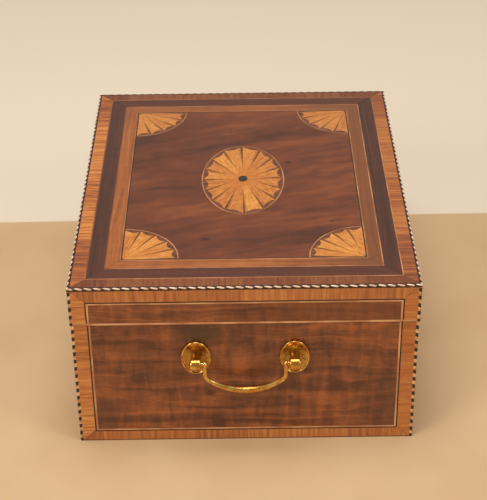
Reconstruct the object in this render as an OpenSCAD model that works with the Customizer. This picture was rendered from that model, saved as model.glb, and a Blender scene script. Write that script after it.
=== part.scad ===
// Inlaid mahogany table box with a hinged lid, fan marquetry and two brass bail handles.
// Millimetres. The origin is the middle of the base, on the surface that the box stands on.
// X runs along the box to the near end, Y runs from the lock side to the hinge side, Z is up.

/* [Box] */
// Length of the lid over its veneers
box_l = 288; // [250:1:340]
// Width of the lid over its veneers
box_w = 240; // [210:1:280]
// Height of the body
body_h = 102; // [92:1:130]
// Height of the lid
lid_h = 30.4; // [27:0.1:40]
// Open joint between the rims of the closed box
lid_gap = 0.6; // [0.4:0.1:1]
// How far the lid stands out past the body on each side
lid_overhang = 0.5; // [0.2:0.1:1]

/* [Carcass] */
// Thickness of the wall boards
wall_t = 10; // [9:0.5:12]
// Thickness of the base board
base_t = 8; // [6:0.5:10]
// Thickness of the lid board
lid_board_t = 8; // [6:0.5:10]
// Depth of the rebates that take the base board and the lid board
rebate_d = 5; // [3:0.5:6]
// Thickness of the facings on the rims
facing_t = 1.5; // [1:0.1:2]
// Thickness of the lining card
lining_t = 0.6; // [0.4:0.1:1]
// Gap between the rim and the edge of the lining
lining_reveal = 4; // [2:0.5:6]
// Number of dovetails at each corner of the body
body_tails = 3; // [2:1:4]
// Number of dovetails at each corner of the lid
lid_tails = 1; // [1:1:2]
// Width of a dovetail at its end, as a share of the spacing
tail_share = 0.62; // [0.5:0.01:0.75]
// Slope of the dovetail sides, rise over run
tail_slope = 0.16; // [0.1:0.01:0.2]

/* [Veneers] */
// Thickness of the saw-cut veneers
veneer_t = 1.2; // [0.9:0.1:1.5]
// Hairline glue joint between the pieces of one band
glue_line = 0.1; // [0.06:0.01:0.15]
// Size of the square stringing let into the edges and corners
arris_w = 2.2; // [1.8:0.1:2.8]
// Rounding of the outer corner of that stringing
arris_r = 0.7; // [0.3:0.1:1]
// Width of the crossbanding on the sides and on top
crossband_w = 9.1; // [7:0.1:12]
// Height of the crossbanding along the bottom of the body
foot_band_h = 8.4; // [6:0.1:12]
// Width of the dark line beside the side crossbanding
side_dark_w = 1; // [0.6:0.1:1.4]
// Width of the light line beside the side panels
side_light_w = 1.2; // [0.6:0.1:1.6]
// Height of the light line along the bottom edge of the lid
rim_line_h = 1.6; // [1:0.1:2.2]
// Width of the light lines on top
top_line_w = 0.8; // [0.5:0.1:1.2]
// Width of the dark line round the field
field_line_w = 0.8; // [0.5:0.1:1.2]
// Width of the dark band on top
dark_band_w = 11.6; // [8:0.1:14]
// Width of the satinwood band on top
satin_band_w = 9.2; // [7:0.1:12]

/* [Marquetry] */
// Length of the oval patera over its light line
patera_l = 102; // [80:1:120]
// Width of the oval patera over its light line
patera_w = 62.6; // [50:0.2:74]
// Width of the light line round the patera and the corner fans
fan_line_w = 0.9; // [0.6:0.1:1.2]
// Number of petals in the patera
patera_petals = 16; // [12:2:20]
// Length of the dark boss at the middle of the patera
boss_l = 9; // [6:0.5:12]
// Width of the dark boss at the middle of the patera
boss_w = 7; // [5:0.5:9]
// Radius of the corner fans over their light line
fan_r = 39.4; // [30:0.2:44]
// Number of petals in each corner fan
fan_petals = 5; // [4:1:7]
// Depth of the hollow in the end of each petal
scallop_d = 3.4; // [1:0.1:5]
// Width of the dark wood between the petal tips and the light line
tip_gap = 0.5; // [0.3:0.1:1]

/* [Hinges] */
// Length of each hinge
hinge_l = 38; // [30:1:50]
// Distance from the middle of the box to the middle of each hinge
hinge_x = 92; // [70:1:100]
// Width of a leaf from the pin to its inner edge
leaf_w = 9.6; // [8:0.1:11]
// Thickness of a leaf
leaf_t = 1.5; // [1.2:0.1:1.8]
// Diameter of the knuckles
knuckle_d = 4.6; // [4:0.1:5.4]
// Diameter of the hinge pin
hinge_pin_d = 2.2; // [1.8:0.1:2.6]
// Clearance round the hinge pin
pin_clear = 0.05; // [0.03:0.01:0.08]
// Distance from the end of a leaf to its outer screws
leaf_screw_in = 6; // [4:0.5:8]
// Gap between one knuckle and the next
knuckle_gap = 0.3; // [0.2:0.05:0.5]
// Clearance round the knuckles in the wood
knuckle_clear = 0.4; // [0.3:0.05:0.6]

/* [Screws] */
// Diameter of the screw heads
screw_head_d = 3.8; // [3.2:0.1:4.4]
// Diameter of the screw shanks
screw_d = 2; // [1.6:0.1:2.4]
// Length of the screws
screw_l = 8; // [6:0.5:10]
// Clearance round the screws
screw_clear = 0.1; // [0.05:0.05:0.2]

/* [Lock] */
// How far the lock's top plate runs past the case at each end
lock_ear = 4; // [4:0.5:7]
// Distance from the end of the top plate or the link plate to its screws
lock_screw_in = 2.4; // [2.2:0.1:2.6]
// Width of the lock's top plate
lock_plate_w = 9; // [8.5:0.1:9.4]
// Thickness of the lock's top plate and of the link plate
lock_plate_t = 1.5; // [1.2:0.1:1.8]
// Length of the lock case
case_l = 46; // [45:0.5:50]
// Depth of the lock case into the front wall
case_d = 6.6; // [6.2:0.1:7.2]
// Height of the lock case below the top of the rim
case_h = 26; // [24:0.5:32]
// Thickness of the cap that closes the lock case
cap_t = 1; // [0.8:0.1:1.2]
// Depth of the chamber that the bolt slides in
chamber_d = 3; // [2.6:0.1:3.2]
// Thickness of the bolt
bolt_t = 2.4; // [2:0.1:2.5]
// Height of the bar of the bolt
bolt_bar_h = 2.8; // [2.4:0.1:3.2]
// Travel of the bolt
bolt_travel = 4; // [3:0.1:4.4]
// Clearance round the sliding bolt
bolt_clear = 0.2; // [0.1:0.05:0.3]
// Width of the uprights that carry the noses
upright_w = 2.4; // [2:0.1:3]
// Thickness of a nose of the bolt
nose_h = 2; // [1.6:0.1:2.2]
// Distance from the middle of the lock to each link
link_x = 11; // [10:0.5:12]
// Length of a link
link_l = 6; // [5.6:0.1:6.4]
// Thickness of a link
link_t = 1.8; // [1.4:0.1:2]
// How far a link reaches down into the closed lock
link_drop = 7.6; // [7:0.1:8]
// Width of a link behind its notch
link_back = 2.2; // [2:0.1:2.6]
// Gap between a link and the bar of the bolt below it
bar_gap = 2.8; // [2:0.1:3]
// Height of the foot of a link under its notch
link_foot_h = 1.4; // [1.2:0.1:1.6]
// Clearance round a link in the lock
link_clear = 0.5; // [0.4:0.1:0.7]
// Depth of the keyhole below the rim
keyhole_drop = 16; // [15:0.5:18]
// Width of the well that the key turns in
keywell_w = 12; // [10:0.5:14]
// Diameter of the round part of the keyhole
keyhole_d = 3.8; // [3:0.1:3.9]
// Width of the slot of the keyhole
keyslot_w = 1.8; // [1.4:0.1:2.2]
// Length of the slot below the middle of the round part
keyslot_l = 5.4; // [4.5:0.1:6]
// Width of the brass edge of the escutcheon
escutcheon_w = 1.1; // [0.8:0.1:1.5]

/* [Handles] */
// Distance between the posts of a handle
post_span = 68.5; // [60:0.5:80]
// Height of the pivots above the base
handle_z = 75; // [70:0.5:84]
// Distance from the end veneer to the pivot line
pivot_out = 9.5; // [8.5:0.1:11]
// Diameter of the barrel head of a post
barrel_d = 9; // [8:0.1:10]
// Length of the barrel head of a post
barrel_l = 8; // [7:0.1:9]
// Rounding of the ends of the barrel head
barrel_r = 1.4; // [0.6:0.1:2]
// Diameter of the neck under the barrel head
neck_d = 6; // [5:0.1:7]
// Diameter of the neck where it stands on the plate
neck_root_d = 7.2; // [7:0.1:8.4]
// Diameter of the shank through the wall
shank_d = 4; // [3.4:0.1:4.6]
// Height of the oval plates
plate_h = 27.4; // [24:0.1:32]
// Width of the oval plates
plate_w = 20.8; // [18:0.1:26]
// Thickness of the plates at their rims
plate_rim_t = 3; // [2.4:0.1:3.6]
// Thickness of the plates under the posts
plate_floor_t = 1.3; // [1:0.1:1.8]
// Width of the hollow between the rim and the flat middle of the plates
rim_slope_w = 5.6; // [4:0.1:6]
// Radius of the rolled edge of the plates
rim_bead_r = 0.7; // [0.4:0.05:1]
// Diameter of the pins at the ends of the bail
bail_pin_d = 3; // [2.4:0.1:3.4]
// Length of a bail pin inside its post
bail_pin_l = 5.6; // [4:0.1:6.4]
// Clearance round a bail pin
bail_pin_clear = 0.05; // [0.03:0.01:0.08]
// Gap between the bail and the barrel head
bail_gap = 0.3; // [0.2:0.05:0.5]
// Diameter of the ball at the top of each leg
ball_d = 3.9; // [3.6:0.1:4.6]
// Thickness of the legs of the bail
leg_d = 3.3; // [2.8:0.1:3.5]
// Thickness of the grip at its middle
grip_d = 5.2; // [4.4:0.1:6]
// Distance from the pivot line down to the middle of the grip
bail_drop = 22.5; // [20:0.1:25]
// How fast the swelling of the grip dies away towards its ends
swell_power = 1.4; // [1:0.1:2]
// Radius of the long curve of the grip
grip_r = 43; // [40:0.5:60]
// Radius of the bend between a leg and the grip
bend_r = 8; // [6:0.1:9]
// Side of the square nuts inside the wall
nut_w = 7.6; // [7:0.1:9]
// Thickness of the nuts
nut_t = 2.6; // [2:0.1:3.2]
// Gap between the end of a shank and the inside of the wall
shank_short = 0.4; // [0.2:0.1:1]
// Clearance round a nut and a shank
nut_clear = 0.2; // [0.1:0.05:0.3]

/* [Hidden] */

// Smoothness of round parts
$fn = 48;
// Smoothness of the round line of the corner fans
fan_fn = 96;
// Extra length of a cutting shape past the face that it cuts
over = 1;

body_l = box_l - 2 * lid_overhang;
body_w = box_w - 2 * lid_overhang;
lid_z = body_h + lid_gap;
top_z = lid_z + lid_h;
carcass_l = body_l - 2 * veneer_t;
carcass_w = body_w - 2 * veneer_t;
lid_carcass_l = box_l - 2 * veneer_t;
lid_carcass_w = box_w - 2 * veneer_t;
inner_l = carcass_l - 2 * wall_t;
inner_w = carcass_w - 2 * wall_t;
lid_inner_l = lid_carcass_l - 2 * wall_t;
lid_inner_w = lid_carcass_w - 2 * wall_t;

// How far in from the lid's edge each line and band of the top starts
top_cross_in = arris_w;
outer_line_in = top_cross_in + crossband_w;
dark_band_in = outer_line_in + top_line_w;
middle_line_in = dark_band_in + dark_band_w;
satin_in = middle_line_in + top_line_w;
inner_line_in = satin_in + satin_band_w;
dark_line_in = inner_line_in + top_line_w;
field_in = dark_line_in + field_line_w;
field_l = box_l - 2 * field_in;
field_w = box_w - 2 * field_in;

// How far in from a side's corner stringing each line starts
side_dark_in = crossband_w;
side_light_in = side_dark_in + side_dark_w;
side_panel_in = side_light_in + side_light_w;

hinge_y = box_w / 2;
hinge_z = body_h + lid_gap / 2;
knuckles = 5;
leaf_room = knuckle_d / 2 + knuckle_clear;

lock_y = -inner_w / 2;
lock_l = case_l + 2 * lock_ear;
lock_screw_x = lock_l / 2 - lock_screw_in;
chamber_y = lock_y - cap_t - chamber_d / 2;
notch_h = nose_h + 2 * link_clear;
notch_d = link_l - link_back;
bolt_floor = link_drop + bar_gap + bolt_bar_h;
nose_tip_gap = bolt_travel - notch_d + link_clear;
nose_reach = notch_d + link_clear;
keywell_h = keyhole_drop + keyslot_l + over;

end_face = body_l / 2;
pivot_x = end_face + pivot_out;
leg_y = post_span / 2 - barrel_l / 2 - bail_gap - ball_d / 2;

// The walls

// One dovetail, drawn with its root on the Y axis and its wide end at x = wall_t
module tail_outline(pitch) {
    end = tail_share * pitch / 2;
    root = end - tail_slope * wall_t;
    polygon([[0, root], [wall_t, end], [wall_t, -end], [0, -root]]);
}

// The dovetails of all four corners, as they stand in the corner squares
module tails(l, w, z, h, count) {
    pitch = h / count;
    for (mx = [0, 1], my = [0, 1]) mirror([mx, 0, 0]) mirror([0, my, 0])
        for (k = [0:count - 1])
            translate([l / 2 - wall_t, w / 2, z + (k + 0.5) * pitch])
                rotate([90, 0, 0]) linear_extrude(wall_t) tail_outline(pitch);
}

// A long wall: the board between the end walls, with a row of dovetails at each end
module long_wall(l, w, z, h, count) {
    translate([-l / 2 + wall_t, w / 2 - wall_t, z]) cube([l - 2 * wall_t, wall_t, h]);
    intersection() {
        tails(l, w, z, h, count);
        translate([-l, 0, z]) cube([2 * l, w, h]);
    }
}

// An end wall: a board over the full width, with sockets for the dovetails
module end_wall(l, w, z, h, count) {
    difference() {
        translate([l / 2 - wall_t, -w / 2, z]) cube([wall_t, w, h]);
        tails(l, w, z, h, count);
    }
}

// The room of the square stringing at the upright corners
module corner_room(l, w, z, h) {
    for (mx = [0, 1], my = [0, 1]) mirror([mx, 0, 0]) mirror([0, my, 0])
        translate([l / 2 - arris_w, w / 2 - arris_w, z]) cube([arris_w + over, arris_w + over, h]);
}

// The room of the square stringing round the top edge of the lid
module edge_room() {
    translate([0, 0, top_z - arris_w]) linear_extrude(arris_w + over) difference() {
        square([box_l + over, box_w + over], center = true);
        square([box_l - 2 * arris_w, box_w - 2 * arris_w], center = true);
    }
}

// A board that lies in a rebate
module rebated_board(l, w, z, t) {
    translate([-l / 2 - rebate_d, -w / 2 - rebate_d, z]) cube([l + 2 * rebate_d, w + 2 * rebate_d, t]);
}

module base_shape() rebated_board(inner_l, inner_w, 0, base_t);

module lid_board_shape() {
    rebated_board(lid_inner_l, lid_inner_w, top_z - veneer_t - lid_board_t, lid_board_t);
}

module body_cuts() {
    base_shape();
    corner_room(body_l, body_w, -over, body_h + 2 * over);
}

module lid_cuts() {
    lid_board_shape();
    corner_room(box_l, box_w, lid_z - over, lid_h + 2 * over);
    edge_room();
}

body_wall_h = body_h - facing_t;
lid_wall_z = lid_z + facing_t;
lid_wall_h = lid_h - facing_t - veneer_t;

module body_long_wall() {
    difference() {
        long_wall(carcass_l, carcass_w, 0, body_wall_h, body_tails);
        body_cuts();
    }
}

module body_end_wall() {
    difference() {
        end_wall(carcass_l, carcass_w, 0, body_wall_h, body_tails);
        body_cuts();
        handle_holes();
    }
}

module lid_long_wall() {
    difference() {
        long_wall(lid_carcass_l, lid_carcass_w, lid_wall_z, lid_wall_h, lid_tails);
        lid_cuts();
    }
}

module lid_end_wall() {
    difference() {
        end_wall(lid_carcass_l, lid_carcass_w, lid_wall_z, lid_wall_h, lid_tails);
        lid_cuts();
    }
}

module carcass_front() {
    color("peru") difference() {
        mirror([0, 1, 0]) body_long_wall();
        lock_room();
        lock_screw_holes();
        key_hole();
    }
}

module carcass_back() {
    color("peru") difference() {
        body_long_wall();
        hinge_room();
        hinge_screw_holes(0);
    }
}

module carcass_near_end() {
    color("peru") body_end_wall();
}

module carcass_far_end() {
    color("peru") mirror([1, 0, 0]) body_end_wall();
}

module base_board() {
    color("burlywood") base_shape();
}

module lid_wall_front() {
    color("peru") difference() {
        mirror([0, 1, 0]) lid_long_wall();
        link_plate_room();
        link_screw_holes();
    }
}

module lid_wall_back() {
    color("peru") difference() {
        lid_long_wall();
        hinge_room();
        hinge_screw_holes(1);
    }
}

module lid_wall_near_end() {
    color("peru") lid_end_wall();
}

module lid_wall_far_end() {
    color("peru") mirror([1, 0, 0]) lid_end_wall();
}

module lid_board() {
    color("burlywood") lid_board_shape();
}

// Bands and lines

// Four mitred strips inside a rectangle, seen from above
module mitred_outline(l, w, inset, band) {
    g = glue_line / sqrt(2);
    for (m = [0, 1]) {
        mirror([0, m]) polygon([
            [-l / 2 + inset + g, w / 2 - inset], [l / 2 - inset - g, w / 2 - inset],
            [l / 2 - inset - band - g, w / 2 - inset - band],
            [-l / 2 + inset + band + g, w / 2 - inset - band]
        ]);
        mirror([m, 0]) polygon([
            [l / 2 - inset, -w / 2 + inset + g], [l / 2 - inset, w / 2 - inset - g],
            [l / 2 - inset - band, w / 2 - inset - band - g],
            [l / 2 - inset - band, -w / 2 + inset + band + g]
        ]);
    }
}

// A mitred frame of the top veneer
module top_frame(inset, band) {
    translate([0, 0, top_z - veneer_t]) linear_extrude(veneer_t)
        mitred_outline(box_l, box_w, inset, band);
}

// Places an outline, with x across and y up, in the veneer of each side
module on_sides(l, w, sides = [0:3]) {
    for (i = sides) {
        $side_w = (i % 2 == 0 ? l : w) - 2 * arris_w;
        rotate([90, 0, 90 * i]) translate([0, 0, (i % 2 == 0 ? w : l) / 2 - veneer_t])
            linear_extrude(veneer_t) children();
    }
}

// Three mitred strips: one along the foot and one up each side
module three_strips(width, height, inset, band, foot_inset, foot_band) {
    g = glue_line / 2;
    half = width / 2 - inset;
    polygon([
        [-half + g, foot_inset], [half - g, foot_inset],
        [half - band - g, foot_inset + foot_band], [-half + band + g, foot_inset + foot_band]
    ]);
    for (m = [0, 1]) mirror([m, 0]) polygon([
        [half, foot_inset + g], [half, height],
        [half - band, height], [half - band, foot_inset + foot_band + g]
    ]);
}

// The same strips on the lid, with the foot strip turned up to the top edge
module lid_strips(inset, band, foot_inset) {
    translate([0, top_z - arris_w]) mirror([0, 1])
        three_strips($side_w, lid_h - arris_w - rim_line_h, inset, band, foot_inset, band);
}

module panel_outline(z0, z1) {
    half = $side_w / 2 - side_panel_in;
    translate([-half, z0]) square([2 * half, z1 - z0]);
}

body_panel_z = foot_band_h + side_dark_w + side_light_w;

module body_panel(side) {
    on_sides(body_l, body_w, [side]) panel_outline(body_panel_z, body_h);
}

module body_rim_facings() {
    color("sienna") difference() {
        translate([0, 0, body_wall_h]) linear_extrude(facing_t)
            mitred_outline(carcass_l, carcass_w, 0, wall_t);
        corner_room(body_l, body_w, 0, body_h + over);
        hinge_room();
        lock_room();
    }
}

module lid_rim_facings() {
    color("sienna") difference() {
        translate([0, 0, lid_z]) linear_extrude(facing_t)
            mitred_outline(lid_carcass_l, lid_carcass_w, 0, wall_t);
        corner_room(box_l, box_w, lid_z - over, lid_h + over);
        hinge_room();
        link_plate_room();
    }
}

module panel_front() {
    color("saddlebrown") difference() {
        body_panel(0);
        escutcheon_room();
    }
}

module panel_back() {
    color("saddlebrown") difference() {
        body_panel(2);
        hinge_room();
    }
}

module panel_near_end() {
    color("saddlebrown") difference() {
        body_panel(1);
        handle_holes();
    }
}

module panel_far_end() {
    color("saddlebrown") difference() {
        body_panel(3);
        mirror([1, 0, 0]) handle_holes();
    }
}

module body_crossbands() {
    color("chocolate") on_sides(body_l, body_w)
        three_strips($side_w, body_h, 0, crossband_w, 0, foot_band_h);
}

module body_dark_lines() {
    color("black") on_sides(body_l, body_w)
        three_strips($side_w, body_h, side_dark_in, side_dark_w, foot_band_h, side_dark_w);
}

module body_light_lines() {
    color("wheat") on_sides(body_l, body_w)
        three_strips($side_w, body_h, side_light_in, side_light_w, foot_band_h + side_dark_w,
            side_light_w);
}

module lid_side_panels() {
    color("saddlebrown") difference() {
        on_sides(box_l, box_w)
            panel_outline(lid_z + rim_line_h, top_z - arris_w - side_panel_in);
        hinge_room();
    }
}

module lid_side_crossbands() {
    color("chocolate") on_sides(box_l, box_w) lid_strips(0, crossband_w, 0);
}

module lid_side_dark_lines() {
    color("black") on_sides(box_l, box_w) lid_strips(side_dark_in, side_dark_w, side_dark_in);
}

module lid_side_light_lines() {
    color("wheat") on_sides(box_l, box_w) lid_strips(side_light_in, side_light_w, side_light_in);
}

module lid_rim_line() {
    color("wheat") difference() {
        on_sides(box_l, box_w) translate([-$side_w / 2, lid_z]) square([$side_w, rim_line_h]);
        hinge_room();
    }
}

// Section of the square stringing, with its outer corner rounded and at the origin
module arris_outline() {
    translate([-arris_w, -arris_w]) square([arris_w, arris_w - arris_r]);
    translate([-arris_w, -arris_w]) square([arris_w - arris_r, arris_w]);
    translate([-arris_r, -arris_r]) circle(arris_r);
}

module corner_stringing(l, w, z, h) {
    for (mx = [0, 1], my = [0, 1]) mirror([mx, 0, 0]) mirror([0, my, 0])
        translate([l / 2, w / 2, z]) linear_extrude(h) arris_outline();
}

module body_corner_stringing() {
    color("dimgray") corner_stringing(body_l, body_w, 0, body_h);
}

module lid_corner_stringing() {
    color("dimgray") corner_stringing(box_l, box_w, lid_z, lid_h - arris_w);
}

// The twisted stringing round the top edge, mitred at the corners
module rope_stringing() {
    color("tan") intersection() {
        union() {
            for (m = [0, 1]) {
                mirror([0, m, 0]) translate([-box_l / 2, box_w / 2, top_z])
                    rotate([90, 0, 90]) linear_extrude(box_l) arris_outline();
                mirror([m, 0, 0]) translate([box_l / 2, box_w / 2, top_z])
                    rotate([90, 0, 0]) linear_extrude(box_w) arris_outline();
            }
        }
        translate([0, 0, top_z - arris_w]) linear_extrude(arris_w)
            mitred_outline(box_l, box_w, 0, arris_w);
    }
}

module top_crossband() {
    color("chocolate") top_frame(top_cross_in, crossband_w);
}

module top_dark_band() {
    color("maroon") top_frame(dark_band_in, dark_band_w);
}

module top_satin_band() {
    color("goldenrod") top_frame(satin_in, satin_band_w);
}

module top_light_lines() {
    color("wheat") for (inset = [outer_line_in, middle_line_in, inner_line_in])
        top_frame(inset, top_line_w);
}

module top_dark_line() {
    color("black") top_frame(dark_line_in, field_line_w);
}

// The fans

// A point of an ellipse with half axes a and b
function oval_point(t, a, b) = [a * cos(t), b * sin(t)];

oval_steps = 96;
function oval(a, b) = [for (i = [0:oval_steps - 1]) oval_point(360 * i / oval_steps, a, b)];

petal_a = patera_l / 2 - fan_line_w;
petal_b = patera_w / 2 - fan_line_w;

// Length round the oval up to each step, and the angles that share it out evenly
walk_steps = 360;
walk = [
    for (i = 0, s = 0; i <= walk_steps; s = s + norm(oval_point(i + 1, petal_a, petal_b)
        - oval_point(i, petal_a, petal_b)), i = i + 1) [s, i]
];
function petal_edge(k) = lookup(walk[walk_steps][0] * k / patera_petals, walk);

// Points across the hollow end of a petal, from one tip to the other
petal_steps = 8;
function hollow(u) = tip_gap + scallop_d * sin(180 * u);
function patera_end(k) = let (t0 = petal_edge(k), t1 = petal_edge(k + 1))
    [for (j = [0:petal_steps]) let (u = j / petal_steps)
        oval_point(t0 + (t1 - t0) * u, petal_a - hollow(u), petal_b - hollow(u))];
function fan_end(k) = let (step = 90 / fan_petals)
    [for (j = [0:petal_steps]) let (u = j / petal_steps, r = fan_r - fan_line_w - hollow(u))
        r * [cos(step * (k + u)), sin(step * (k + u))]];

// A point moved square to its own direction from the centre
function aside(p, d) = p + d / norm(p) * [-p[1], p[0]];

// A petal from its hollow end and the point where its sides start, less half a glue line
function petal(end, first, last) = let (g = glue_line / 2, n = len(end) - 1) concat(
    [aside(first, g), aside(end[0], g)],
    [for (j = [1:n - 1]) end[j]],
    [aside(end[n], -g), aside(last, -g)]
);

module patera_outline() {
    for (k = [0:patera_petals - 1]) {
        end = patera_end(k);
        t0 = petal_edge(k);
        t1 = petal_edge(k + 1);
        polygon(petal(end, oval_point(t0, boss_l / 2, boss_w / 2),
            oval_point(t1, boss_l / 2, boss_w / 2)));
    }
}

// Where the sides of the fan petals start, measured from the corner
fan_root = 0.8;

module fan_outline() {
    step = 90 / fan_petals;
    for (k = [0:fan_petals - 1])
        polygon(petal(fan_end(k), fan_root * [cos(step * k), sin(step * k)],
            fan_root * [cos(step * (k + 1)), sin(step * (k + 1))]));
}

// The line of all the petal ends, closed over the petals
module patera_reach() {
    polygon([for (k = [0:patera_petals - 1]) each patera_end(k)]);
}

module fan_reach() {
    polygon(concat([[-over, -over], [fan_r, -over]],
        [for (k = [0:fan_petals - 1]) each fan_end(k)], [[-over, fan_r]]));
}

// Places a fan, drawn in the first quarter, in each corner of the field
module in_corners() {
    for (mx = [0, 1], my = [0, 1]) mirror([mx, 0]) mirror([0, my])
        translate([-field_l / 2, -field_w / 2]) children();
}

module quarter(r) {
    intersection() {
        circle(r, $fn = fan_fn);
        square(r + over);
    }
}

module in_top() {
    translate([0, 0, top_z - veneer_t]) linear_extrude(veneer_t) children();
}

module top_field() {
    color("brown") in_top() difference() {
        square([field_l, field_w], center = true);
        polygon(oval(patera_l / 2, patera_w / 2));
        in_corners() quarter(fan_r);
    }
}

module fan_ground() {
    color("saddlebrown") in_top() {
        difference() {
            polygon(oval(petal_a, petal_b));
            patera_reach();
        }
        in_corners() difference() {
            quarter(fan_r - fan_line_w);
            fan_reach();
        }
    }
}

module fan_lines() {
    color("wheat") in_top() {
        difference() {
            polygon(oval(patera_l / 2, patera_w / 2));
            polygon(oval(petal_a, petal_b));
        }
        in_corners() difference() {
            quarter(fan_r);
            circle(fan_r - fan_line_w, $fn = fan_fn);
        }
    }
}

module patera_petals() {
    color("goldenrod") in_top() patera_outline();
}

module patera_boss() {
    color("black") in_top() polygon(oval(boss_l / 2 - glue_line, boss_w / 2 - glue_line));
}

module corner_fan_petals() {
    color("goldenrod") in_top() in_corners() fan_outline();
}

// The linings

module lining_box(l, w, z, h) {
    difference() {
        translate([-l / 2, -w / 2, z]) cube([l, w, h]);
        translate([-l / 2 + lining_t, -w / 2 + lining_t, z - over])
            cube([l - 2 * lining_t, w - 2 * lining_t, h + 2 * over]);
    }
}

module body_lining() {
    color("lightsteelblue") difference() {
        union() {
            translate([-inner_l / 2, -inner_w / 2, base_t]) cube([inner_l, inner_w, lining_t]);
            lining_box(inner_l, inner_w, base_t, body_h - facing_t - lining_reveal - base_t);
        }
        lock_view();
    }
}

module lid_lining() {
    under = top_z - veneer_t - lid_board_t;
    bottom = lid_z + facing_t + lining_reveal;
    color("lightsteelblue") {
        translate([-lid_inner_l / 2, -lid_inner_w / 2, under - lining_t])
            cube([lid_inner_l, lid_inner_w, lining_t]);
        lining_box(lid_inner_l, lid_inner_w, bottom, under - bottom);
    }
}

// Screws

// A countersunk screw that points down from the origin
module screw(clear = 0) {
    head = screw_head_d / 2 + clear;
    shank = screw_d / 2 + clear;
    rotate_extrude() polygon([
        [0, clear == 0 ? 0 : over], [head, clear == 0 ? 0 : over], [head, 0],
        [shank, -(head - shank)], [shank, -screw_l - clear], [0, -screw_l - clear]
    ]);
}

// The hinges

module at_hinges() {
    for (side = [-1, 1]) translate([side * hinge_x, 0, 0]) children();
}

// The room of the knuckles and of both leaves in the wood
module hinge_room() {
    at_hinges() {
        translate([-hinge_l / 2 - knuckle_clear, hinge_y, hinge_z]) rotate([0, 90, 0])
            cylinder(r = leaf_room, h = hinge_l + 2 * knuckle_clear);
        translate([-hinge_l / 2, hinge_y - leaf_w, body_h - leaf_t])
            cube([hinge_l, leaf_w, 2 * leaf_t + lid_gap]);
    }
}

// How much of the gap between knuckles lies at the start and at both ends of knuckle k
function knuckle_start(k) = k == 0 ? 0 : knuckle_gap / 2;
function knuckle_loss(k) = k == 0 || k == knuckles - 1 ? knuckle_gap / 2 : knuckle_gap;

// Knuckles from the first one on, every second one, each with the strip of leaf that holds it
module hinge_knuckles(first) {
    pitch = hinge_l / knuckles;
    for (k = [first:2:knuckles - 1])
        translate([-hinge_l / 2 + k * pitch + knuckle_start(k), 0, 0]) {
            rotate([0, 90, 0]) cylinder(d = knuckle_d, h = pitch - knuckle_loss(k));
            translate([0, -leaf_w, -leaf_t - lid_gap / 2])
                cube([pitch - knuckle_loss(k), leaf_w, leaf_t]);
        }
}

// A leaf that lies under the pin line, with screw holes and the pin bore
module hinge_leaf(first) {
    difference() {
        union() {
            translate([-hinge_l / 2, -leaf_w, -leaf_t - lid_gap / 2])
                cube([hinge_l, leaf_w - leaf_room, leaf_t]);
            hinge_knuckles(first);
        }
        leaf_screws() screw(screw_clear);
        translate([-hinge_l / 2 - over, 0, 0]) rotate([0, 90, 0])
            cylinder(d = hinge_pin_d + 2 * pin_clear, h = hinge_l + 2 * over);
    }
}

leaf_screw_y = leaf_room + (leaf_w - leaf_room) / 2;
leaf_screw_x = hinge_l / 2 - leaf_screw_in;

module leaf_screws() {
    for (k = [-1, 0, 1]) translate([k * leaf_screw_x, -leaf_screw_y, -lid_gap / 2]) children();
}

// Puts a lower leaf, or with turn = 1 an upper leaf, at both hinges
module place_leaves(turn) {
    at_hinges() translate([0, hinge_y, hinge_z]) mirror([0, 0, turn]) children();
}

module hinge_screw_holes(turn) {
    place_leaves(turn) leaf_screws() screw(screw_clear);
}

module hinge_body_leaves() {
    color("gold") place_leaves(0) hinge_leaf(0);
}

module hinge_lid_leaves() {
    color("gold") place_leaves(1) hinge_leaf(1);
}

module hinge_pins() {
    color("darkgoldenrod") at_hinges() translate([-hinge_l / 2, hinge_y, hinge_z]) rotate([0, 90, 0])
        cylinder(d = hinge_pin_d, h = hinge_l);
}

module hinge_body_screws() {
    color("khaki") place_leaves(0) leaf_screws() screw();
}

module hinge_lid_screws() {
    color("khaki") place_leaves(1) leaf_screws() screw();
}

// The lock

// The pocket of the lock in the front wall
module lock_room() {
    translate([-lock_l / 2, lock_y - lock_plate_w, body_h - lock_plate_t])
        cube([lock_l, lock_plate_w + over, lock_plate_t + over]);
    translate([-case_l / 2, lock_y - case_d, body_h - case_h]) cube([case_l, case_d + over, case_h]);
}

// The part of the lining that is cut away over the lock
module lock_view() {
    translate([-case_l / 2, lock_y - over, body_h - case_h]) cube([case_l, lining_t + 2 * over, case_h]);
}

// Outline of the keyhole, or of the escutcheon round it
module key_outline(grow) {
    circle(d = keyhole_d + 2 * grow);
    translate([-keyslot_w / 2 - grow, -keyslot_l]) square([keyslot_w + 2 * grow, keyslot_l]);
    translate([0, -keyslot_l]) circle(d = keyslot_w + 2 * grow);
}

// The key's way in from the front, as far as the bolt chamber
module key_hole() {
    translate([0, chamber_y, body_h - keyhole_drop]) rotate([90, 0, 0])
        linear_extrude(body_w / 2 + chamber_y + over) key_outline(0);
}

module escutcheon_room() {
    translate([0, -body_w / 2 + veneer_t, body_h - keyhole_drop]) rotate([90, 0, 0])
        linear_extrude(veneer_t + over) key_outline(escutcheon_w);
}

module keyhole_escutcheon() {
    color("gold") difference() {
        translate([0, -body_w / 2 + veneer_t, body_h - keyhole_drop]) rotate([90, 0, 0])
            linear_extrude(veneer_t) key_outline(escutcheon_w);
        key_hole();
    }
}

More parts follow.
